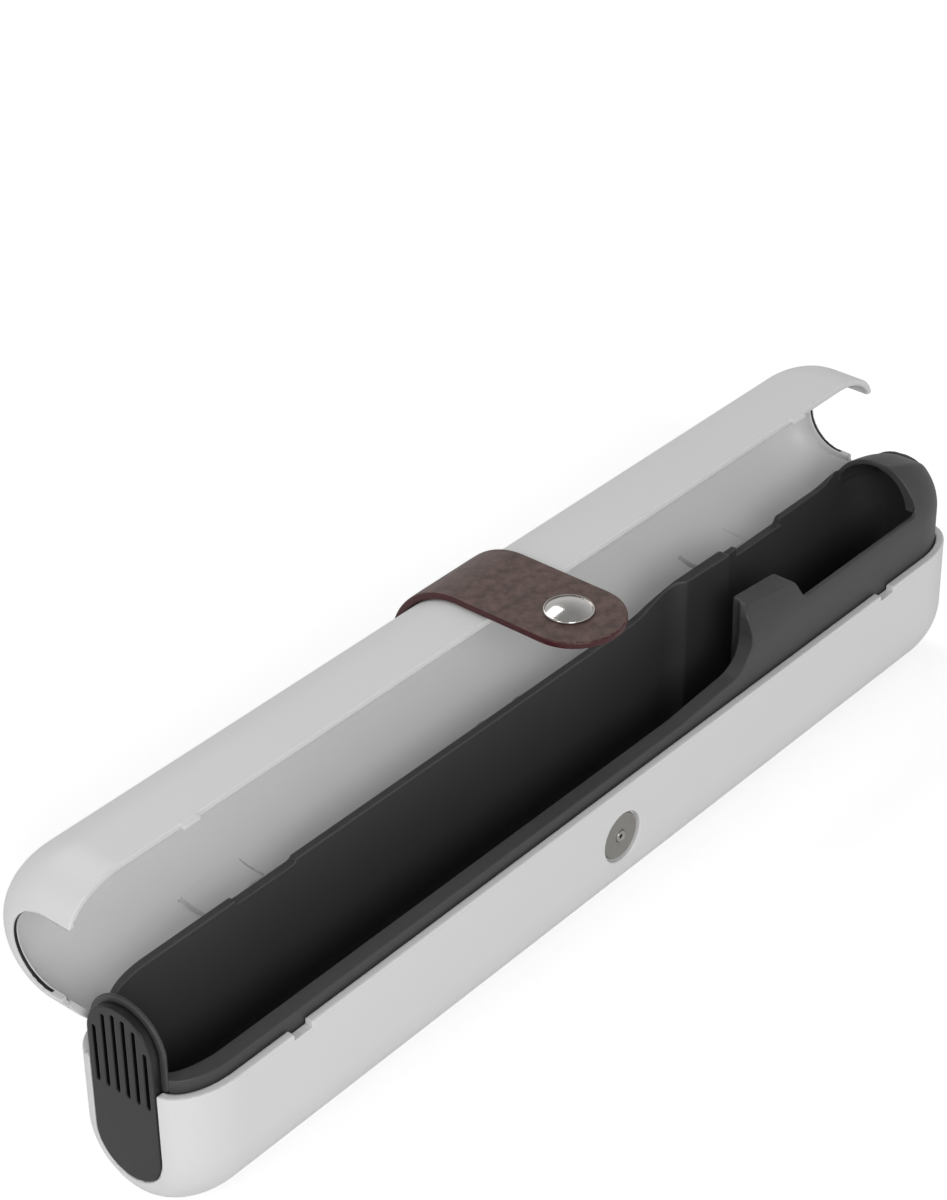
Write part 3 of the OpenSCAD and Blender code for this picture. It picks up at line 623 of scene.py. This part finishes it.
# %% Lid shell
def lid_field(X, Y, Z):
    skin = capsule(X, Y, Z, CASE_R, -HALF_L, HALF_L, LID_ARC, up=-1)
    hollow = capsule(X, Y, Z, LID_IN_R, -LID_IN_L, LID_IN_L, LID_ARC, up=-1, c0=LID_IN_CORNER,
                     c1=LID_IN_CORNER)
    wall = cut(both(skin, RIM + SEAM - Z, 0.3), hollow, 0.3)
    through = np.maximum(stadium(Y, Z, PLATE_R + 0.45, RIM - 9, PLATE_TOP),
                         LID_CUT_X - np.abs(X))
    rabbet = np.maximum(stadium(Y, Z, RIDGE_R + 0.5, RIM - 9, PLATE_TOP),
                        slab(np.abs(X), LID_CUT_X, RABBET_X))
    wall = cut(cut(wall, through, 0.2), rabbet, 0.1)
    window = block(np.abs(X), Y, Z, (HINGE_X - OPEN_POCKET, 10.8, 20),
                   (HINGE_X + OPEN_POCKET, 20, RIM + 5.8), 0.1)
    leaf = np.hypot(Y, np.maximum(Z - LID_ARC, 0)) - (LID_IN_R + 0.7)
    wide = slab(np.abs(X), HINGE_X - OPEN_POCKET, HINGE_X + OPEN_POCKET)
    leaf = np.maximum(np.maximum(leaf, wide),
                      np.maximum(slab(Z, RIM + 5.7, RIM + 12.3), 1 - Y))
    wall = cut(cut(wall, window, 0.1), leaf, 0.05)
    swing = np.maximum(np.maximum(slab(Y, 2, HINGE_Y), Z - HINGE_Z),
                       4.3 - np.hypot(Y - HINGE_Y, Z - HINGE_Z))
    wall = cut(wall, swing, 0.1)
    tab = block(np.abs(X), Y, Z, (CATCH_X - 2, -CASE_R + 0.1, RIM - 1),
                (CATCH_X + 2, -CASE_R + 1, RIM + 1), 0.2)
    return either(wall, tab, 0.15)


half = [(6, 65, 2.2), (65, 83, 0.55), (83, 86.6, 1.0), (86.6, 92, 0.3), (92, 104, 1.4),
        (104, 112, 0.6), (112, 118.6, 0.35)]
xs = lines(*[(-b, -a, s) for a, b, s in half[::-1]], (-6, 6, 2.0), *half)
ys = lines((-15.7, -13.2, 0.28), (-13.2, -6, 0.5), (-6, 6, 0.7), (6, 13.2, 0.5),
           (13.2, 15.7, 0.28))
zs = lines((27.8, 30.4, 0.2), (30.4, 44, 0.55), (44, 52.6, 0.45))
v, f, n = surface(lid_field, xs, ys, zs)
settle(make_mesh("lid_case", opened(v), f, opened_way(n), [shell_abs]), "lid",
       ["lid_shell"])

# %% [markdown]
# A seal is a half ring of silicone of 0.7 mm in the cut-out's inner face, just proud of it. Its
# section has rounded corners and is carried round from one straight leg of the cut-out to the
# other.

# %% Seals
def half_ring(r0, r1, x0, x1, soft=0.12, n=48):
    section = [(r0, x0 + soft), (r0, x1 - soft), (r0 + soft, x1), (r1, x1), (r1, x0),
               (r0 + soft, x0)]
    m = len(section)
    verts = [(x, r * math.cos(math.pi * i / n), PLATE_TOP + r * math.sin(math.pi * i / n))
             for i in range(n + 1) for r, x in section]
    faces = [[i * m + k, i * m + (k + 1) % m, (i + 1) * m + (k + 1) % m, (i + 1) * m + k]
             for i in range(n) for k in range(m)]
    return np.array(verts), faces + [list(range(m))[::-1], [n * m + k for k in range(m)]]


v, f = half_ring(8.2, 8.8, 116.9, 117.6)
for name, side, cad in (("far_seal", 1, "far_lid_seal"), ("near_seal", -1, "near_lid_seal")):
    seal = make_mesh(name, opened(v * [side, 1, 1]), f, None, [seal_silicone])
    outward(seal, 50)
    settle(seal, "lid", [cad])

# %% [markdown]
# ## The strap
#
# The strap is one band of leather, riveted behind the hinge line and led over the lid's crown.
# It is drawn flat first, as it would be cut: a rectangle with a half-round tip, with its edges
# rounded off. The flat shape is then wrapped round the closed lid, and turned open with it.

# %% Strap
HALF_W = STRAP_W / 2
PATH_UP = LID_ARC - (RIM + 1.66)
PATH_ARC = math.pi * (STRAP_IN + STRAP_T / 2)
PATH_TIP = PATH_UP + PATH_ARC + LID_ARC - STRAP_TIP


def strap_field(S, X, H):
    """S runs along the strap, X across it, and H is the height over its middle layer."""
    flat = np.hypot(X, np.maximum(S - PATH_TIP, 0)) - HALF_W
    flat = both(flat, -S, 1.5)
    crown = 0.06 * (1 - np.clip(-flat / 2.5, 0, 1)) ** 2
    return both(flat, np.abs(H) - STRAP_T / 2 + crown, 0.4)


def wrap(p):
    """From the flat strap to the closed case."""
    s, x, h = p.T
    mid = STRAP_IN + STRAP_T / 2
    a = np.clip((s - PATH_UP) / mid, 0, math.pi)
    r = mid + h
    up, down = np.minimum(s, PATH_UP) - PATH_UP, np.maximum(s - PATH_UP - PATH_ARC, 0)
    return np.stack([x, r * np.cos(a), LID_ARC + r * np.sin(a) + up - down], 1)


ss = lines((-0.4, 3, 0.4), (3, PATH_TIP, 0.8), (PATH_TIP, PATH_TIP + HALF_W + 0.4, 0.3))
xs = lines((-HALF_W - 0.3, -8.6, 0.22), (-8.6, 8.6, 0.7), (8.6, HALF_W + 0.3, 0.22))
hs = lines((-1.1, 1.1, 0.22))
v, f, n = surface(strap_field, ss, xs, hs)
w = wrap(v)
turned = wrap(v + 0.01 * n) - w
turned /= np.linalg.norm(turned, axis=1)[:, None]
rim_faces = np.hypot(v[:, 1], np.maximum(v[:, 0] - PATH_TIP, 0)) - HALF_W > -0.22
edge = [int(sum(rim_faces[i] for i in q) >= 3) for q in f]
strap = make_mesh("strap_leather", opened(w), f, opened_way(turned), [leather, edge_paint], edge)
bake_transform(strap)
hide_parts("strap_band", "strap_flap")
print("strap_leather", len(f), "quads")

# %% [markdown]
# ## Turned metal parts
#
# The cap, the clasp disc and its rivet are round, so each is a profile turned about its axis.
# The profiles hold the rolled rims and the small radii that catch the light.

# %% Turned parts
def turn(profile, n=64):
    """Vertices (u, v, h) and faces of a profile [(radius, height), ...] turned about its axis."""
    verts, rings = [], []
    for r, h in profile:
        if r < 1e-6:
            rings.append([len(verts)])
            verts.append((0.0, 0.0, h))
        else:
            rings.append(list(range(len(verts), len(verts) + n)))
            verts += [(r * math.cos(2 * math.pi * i / n), r * math.sin(2 * math.pi * i / n), h)
                      for i in range(n)]
    faces = []
    for a, b in zip(rings, rings[1:]):
        for i in range(n):
            j = (i + 1) % n
            quad = [a[i % len(a)], a[j % len(a)], b[j % len(b)], b[i % len(b)]]
            quad = [q for k, q in enumerate(quad) if q != quad[k - 1]]
            if len(quad) > 2:
                faces.append(quad)
    return np.array(verts), faces


def toward_front(v, y, z):
    """Places a turned part so that its axis points towards -Y."""
    return np.stack([v[:, 0], y - v[:, 2], z + v[:, 1]], 1)


def round_part(name, profile, y, z, material, is_open=False, n=64):
    v, f = turn(profile, n)
    v = toward_front(v, y, z)
    if is_open:
        v = opened(v)
    ob = make_mesh(name, v, f, None, [material])
    outward(ob, 40)
    return ob


CAP_R, CAP_H, ROLL = 4.9, 1.7, 0.32
DOME_R, DOME_H = 4.62, 1.3
ball_r = (DOME_R ** 2 + DOME_H ** 2) / (2 * DOME_H)
radii = [DOME_R * math.sin(math.radians(90 - 90 * i / 16)) for i in range(17)]
dome = [(r, CAP_H - ball_r + math.sqrt(ball_r ** 2 - r * r)) for r in radii]
roll = [(CAP_R - ROLL + ROLL * math.cos(a), ROLL + ROLL * math.sin(a))
        for a in [math.radians(d) for d in range(-90, 100, 20)]]
cap_profile = [(0.0, 0.0), (CAP_R - ROLL, 0.0)] + roll + dome
cap = round_part("snap_dome", cap_profile, -STRAP_OUT, CLASP_Z, polished_nickel, True, n=96)
settle(cap, "flap", ["snap_cap"])

disc_profile = [(1.3, 0.0), (1.3, 0.55), (1.45, 0.7), (4.55, 0.7), (4.75, 0.66), (4.9, 0.56),
                (5.0, 0.4), (5.0, 0.0), (1.3, 0.0)]
disc = round_part("clasp_plate", disc_profile, RECESS_Y, CLASP_Z, disc_steel, n=96)
settle(disc, "base", ["clasp_disc"])

tube_profile = [(0.45, 0.15), (0.45, 0.72), (0.58, 0.84), (0.85, 0.86), (1.1, 0.8), (1.23, 0.62),
                (1.23, -1.0), (0.45, -1.0), (0.45, 0.15)]
tube = round_part("clasp_eyelet", tube_profile, RECESS_Y, CLASP_Z, rivet_steel, n=48)
settle(tube, "base", ["clasp_rivet"])

# %% [markdown]
# ## Rivets, by Geometry Nodes
#
# Two identical rivets hold the strap at the back of the lid, each with a washer inside. The
# tree puts one turned part on each point of a short line and ends in Realize Instances and Set
# Material. Its result is taken as a plain mesh, because an export drops live instances.

# %% Rivets and washers
def repeat_along_x(name, part, material, count, pitch):
    tree = bpy.data.node_groups.new(name + "_row", "GeometryNodeTree")
    tree.interface.new_socket("Geometry", in_out="OUTPUT", socket_type="NodeSocketGeometry")
    for label, kind in (("Count", "NodeSocketInt"), ("Pitch", "NodeSocketFloat")):
        tree.interface.new_socket(label, in_out="INPUT", socket_type=kind)
    given = tree.nodes.new("NodeGroupInput")
    half_row = add(tree, "ShaderNodeMath", {0: given.outputs["Pitch"], 1: -0.5},
                   operation="MULTIPLY")
    start = add(tree, "ShaderNodeCombineXYZ", {"X": half_row.outputs[0]})
    step = add(tree, "ShaderNodeCombineXYZ", {"X": given.outputs["Pitch"]})
    row = add(tree, "GeometryNodeMeshLine", {"Count": given.outputs["Count"],
                                             "Start Location": start.outputs[0],
                                             "Offset": step.outputs[0]})
    one = add(tree, "GeometryNodeObjectInfo", {"Object": part}, transform_space="ORIGINAL")
    many = add(tree, "GeometryNodeInstanceOnPoints", {"Points": row.outputs["Mesh"],
                                                      "Instance": one.outputs["Geometry"]})
    real = add(tree, "GeometryNodeRealizeInstances", {"Geometry": many.outputs[0]})
    dressed = add(tree, "GeometryNodeSetMaterial", {"Geometry": real.outputs[0],
                                                    "Material": material})
    out = tree.nodes.new("NodeGroupOutput")
    tree.links.new(dressed.outputs[0], out.inputs[0])
    host = bpy.data.objects.new(name + "_host", bpy.data.meshes.new(name + "_host"))
    bpy.context.scene.collection.objects.link(host)
    mod = host.modifiers.new("row", "NODES")
    mod.node_group = tree
    ids = {s.name: s.identifier for s in tree.interface.items_tree if s.in_out == "INPUT"}
    mod[ids["Count"]] = count
    mod[ids["Pitch"]] = pitch * MM
    bpy.context.view_layer.update()
    done = host.evaluated_get(bpy.context.evaluated_depsgraph_get())
    me = bpy.data.meshes.new_from_object(done)
    me.name = name
    ob = bpy.data.objects.new(name, me)
    bpy.context.scene.collection.objects.link(ob)
    bpy.data.objects.remove(host)
    bpy.data.objects.remove(part)
    return ob


head = [(0.0, 0.5), (0.7, 0.47), (1.3, 0.36), (1.6, 0.2), (1.7, 0.0), (1.1, 0.0), (1.1, -3.9),
        (0.0, -3.9)]
v, f = turn(head, 40)
place = np.stack([v[:, 0], STRAP_OUT + v[:, 2], RIVET_Z + v[:, 1]], 1)
one = make_mesh("rivet_one", opened(place), f, None, [rivet_steel])
rivets = repeat_along_x("band_rivets", one, rivet_steel, 2, RIVET_PITCH)
settle(rivets, "lid", ["strap_rivets"])

ring = [(1.15, 0.0), (2.1, 0.0), (2.1, 0.45), (1.95, 0.6), (1.3, 0.6), (1.15, 0.45), (1.15, 0.0)]
v, f = turn(ring, 40)
place = np.stack([v[:, 0], LID_IN_R - v[:, 2], RIVET_Z + v[:, 1]], 1)
one = make_mesh("washer_one", opened(place), f, None, [rivet_steel])
washers = repeat_along_x("band_washers", one, rivet_steel, 2, RIVET_PITCH)
settle(washers, "lid", ["strap_rivet_washers"])
for ob in (rivets, washers):
    outward(ob, 40)

# %% [markdown]
# ## CAD nodes that stay
#
# The hinge leaves, pins, magnet and the cap's backing already have their true shape in the CAD
# and sit mostly out of sight, so they keep their meshes and only get a finish.

# %% Finishes of the CAD nodes
for name, m in (("near_base_leaf", shell_abs), ("far_base_leaf", shell_abs),
                ("near_lid_leaf", shell_abs), ("far_lid_leaf", shell_abs),
                ("near_hinge_pin", pin_steel), ("far_hinge_pin", pin_steel),
                ("clasp_magnet", disc_steel), ("snap_backing", rivet_steel)):
    nodes[name].data.materials.clear()
    nodes[name].data.materials.append(m)

# %% [markdown]
# ## Camera, floor and light
#
# The camera stands where the photograph was taken from: about 33 degrees above the case and 40
# degrees round from its near end, with a long lens. A plain pale floor and a white surround
# give soft light, with three broad lamps.

# %% Camera
cam_data = bpy.data.cameras.new("camera")
cam = bpy.data.objects.new("camera", cam_data)
bpy.context.scene.collection.objects.link(cam)
right = Vector((0.64570646, -0.76349791, -0.01158022))
down = Vector((-0.42169654, -0.3439126, -0.83898519))
look = Vector((0.63658086, 0.5466215, -0.54403102))
place = Vector((-0.380749, -0.305285, 0.382279))
cam.matrix_world = Matrix([(right[k], -down[k], -look[k], place[k]) for k in range(3)]
                          + [(0, 0, 0, 1)])
cam_data.lens = 93.65
cam_data.sensor_width = 36.0
cam_data.clip_start = 0.01
bpy.context.scene.camera = cam

# %% [markdown]
# The studio: a pale floor that runs on behind the case, a white surround that is brightest near
# the horizon, and lamps in front, behind and at the near end. The camera sees floor and surround
# as plain white paper, while the floor still takes the soft shadow.

# %% Floor, surround and lamps
FLOOR_LIFT = 0.42
floor_mat, tree, shader, where = start_material("floor_matt_paper", 0.9)
drift = add(tree, "ShaderNodeTexNoise", {"Vector": where, "Scale": 4.0, "Detail": 1.0})
dress(tree, shader, drift.outputs["Fac"], "#F2F2F2", "#F5F5F5")
FLOOR = 4000
floor = make_mesh("floor", [(-FLOOR, -FLOOR, 0), (FLOOR, -FLOOR, 0), (FLOOR, FLOOR, 0),
                            (-FLOOR, FLOOR, 0)], [(0, 1, 2, 3)], None, [floor_mat])
path = add(tree, "ShaderNodeLightPath")
lift = add(tree, "ShaderNodeMath", {0: path.outputs["Is Camera Ray"], 1: FLOOR_LIFT},
           operation="MULTIPLY")
tree.links.new(lift.outputs[0], shader.inputs["Emission Strength"])
shader.inputs["Emission Color"].default_value = colour("#FFFFFF")

world = bpy.data.worlds.new("surround")
bpy.context.scene.world = world
world.use_nodes = True
tree = world.node_tree
sky = tree.nodes["Background"]
way = add(tree, "ShaderNodeSeparateXYZ", {0: add(tree, "ShaderNodeTexCoord").outputs["Generated"]})
fade = add(tree, "ShaderNodeMapRange", {"Value": way.outputs["Z"], "From Min": 0.15, "From Max": 0.9,
                                        "To Min": 0.66, "To Max": 0.3})
path = add(tree, "ShaderNodeLightPath")
seen = add(tree, "ShaderNodeMix", {"Factor": path.outputs["Is Camera Ray"],
                                   "A": fade.outputs[0], "B": 1.0}, data_type="FLOAT")
tree.links.new(seen.outputs["Result"], sky.inputs["Strength"])
sky.inputs["Color"].default_value = colour("#FFFFFF")


def lamp(name, place, size, power, aim=(0, 0, 0.03)):
    data = bpy.data.lights.new(name, "AREA")
    data.size, data.energy = size, power
    ob = bpy.data.objects.new(name, data)
    bpy.context.scene.collection.objects.link(ob)
    ob.location = place
    ob.rotation_euler = (Vector(aim) - Vector(place)).to_track_quat("-Z", "Y").to_euler()


lamp("soft_front", (-0.75, -1.0, 0.75), 0.5, 7.0)
lamp("soft_back", (0.2, 0.9, 1.0), 0.6, 3.4)
lamp("soft_left", (-1.3, 0.1, 0.8), 0.4, 2.2)
bpy.context.scene.view_settings.view_transform = "Standard"
